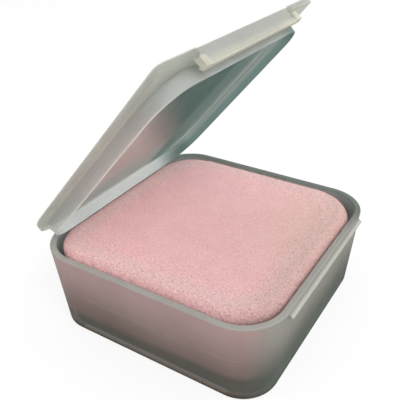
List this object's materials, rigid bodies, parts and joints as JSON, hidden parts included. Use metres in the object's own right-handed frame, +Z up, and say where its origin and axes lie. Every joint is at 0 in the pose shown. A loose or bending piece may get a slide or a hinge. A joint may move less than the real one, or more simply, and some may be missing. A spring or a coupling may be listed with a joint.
{
  "type": "hinged box with foam pad",
  "caption": "Small square translucent plastic box with round corners, a hinged plug lid with a snap flap, and a pink foam pad that fills the tray; holds moisture for brushes, stamps or paint.",
  "frame": {"origin": "middle of the tray's foot, on the surface that the box stands on", "axes": "+Z up, +X from the hinge to the catch, Y along the hinge"},
  "size_m": [0.0688, 0.0668, 0.0771],
  "materials": {
    "tray_plastic": "frosted translucent, natural polypropylene",
    "lid_plastic": "frosted translucent, glossy inside",
    "hinge_plastic": "thin translucent web",
    "flap_plastic": "frosted translucent",
    "foam": "open-cell pink foam"
  },
  "bodies": {
    "tray": {"tray": "tray_plastic", "living_hinge": "hinge_plastic", "sponge": "foam"},
    "lid": {"lid": "lid_plastic"},
    "latch_flap": {"latch_flap": "flap_plastic"}
  },
  "joints": [
    {"name": "lid_hinge", "type": "hinge", "parent": "tray", "child": "lid", "pos_m": [-0.0339, 0, 0.02322], "axis": [0, -1, 0], "range_deg": [-49.4, 130.6], "deforming": ["living_hinge", "sponge"]},
    {"name": "flap_flex", "type": "hinge", "parent": "lid", "child": "latch_flap", "pos_m": [0.01093, 0, 0.07495], "axis": [0, -1, 0], "range_deg": [0, 15], "stiffness_Nm_per_rad": 0.05}
  ]
}
